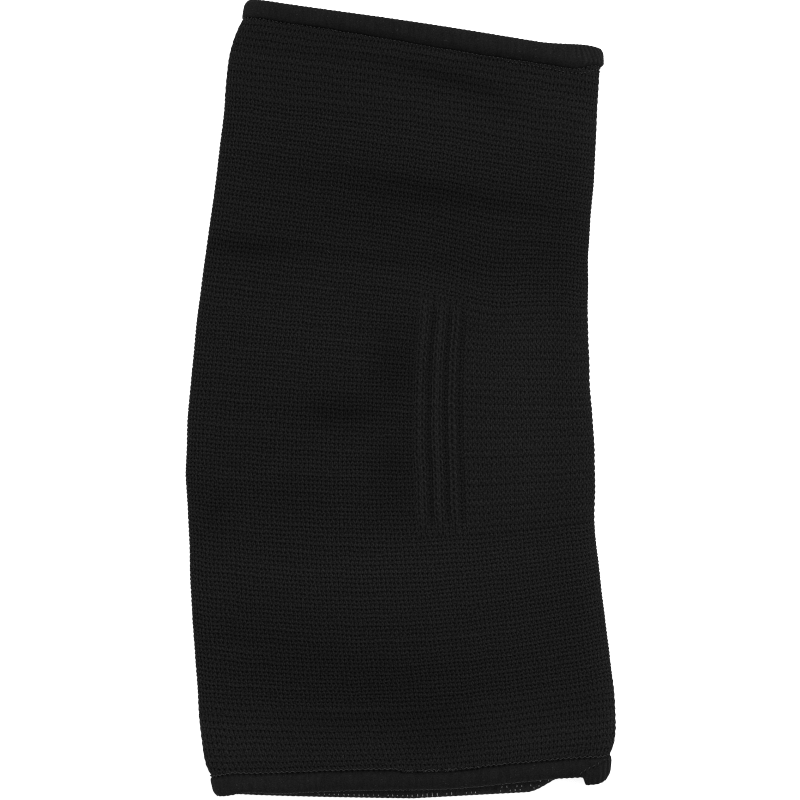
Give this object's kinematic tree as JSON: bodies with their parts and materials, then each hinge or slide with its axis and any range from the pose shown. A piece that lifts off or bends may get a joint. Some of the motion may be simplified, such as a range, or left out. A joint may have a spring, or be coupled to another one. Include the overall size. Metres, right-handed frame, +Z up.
{
  "type": "knitted knee support sleeve",
  "caption": "Black elastic knit knee support laid flat: a curved tube with bound edges, coarser knit at its ends and behind the knee, and raised wales beside the knee cap.",
  "frame": {"origin": "middle of the laid sleeve's outline, on the surface it lies on", "axes": "+Y along the sleeve towards the thigh end, +Z up through the two flat layers, -X towards the knee cap side"},
  "size_m": [0.1561, 0.2926, 0.0205],
  "materials": {
    "knit": "matt knitted elastic yarn, black",
    "binding": "dense fine-ribbed elastic tape, black",
    "thread": "sewing thread, dark grey with a slight sheen"
  },
  "bodies": {
    "root": {"knit_sleeve": "knit", "upper_binding": "binding", "lower_binding": "binding"}
  },
  "joints": []
}
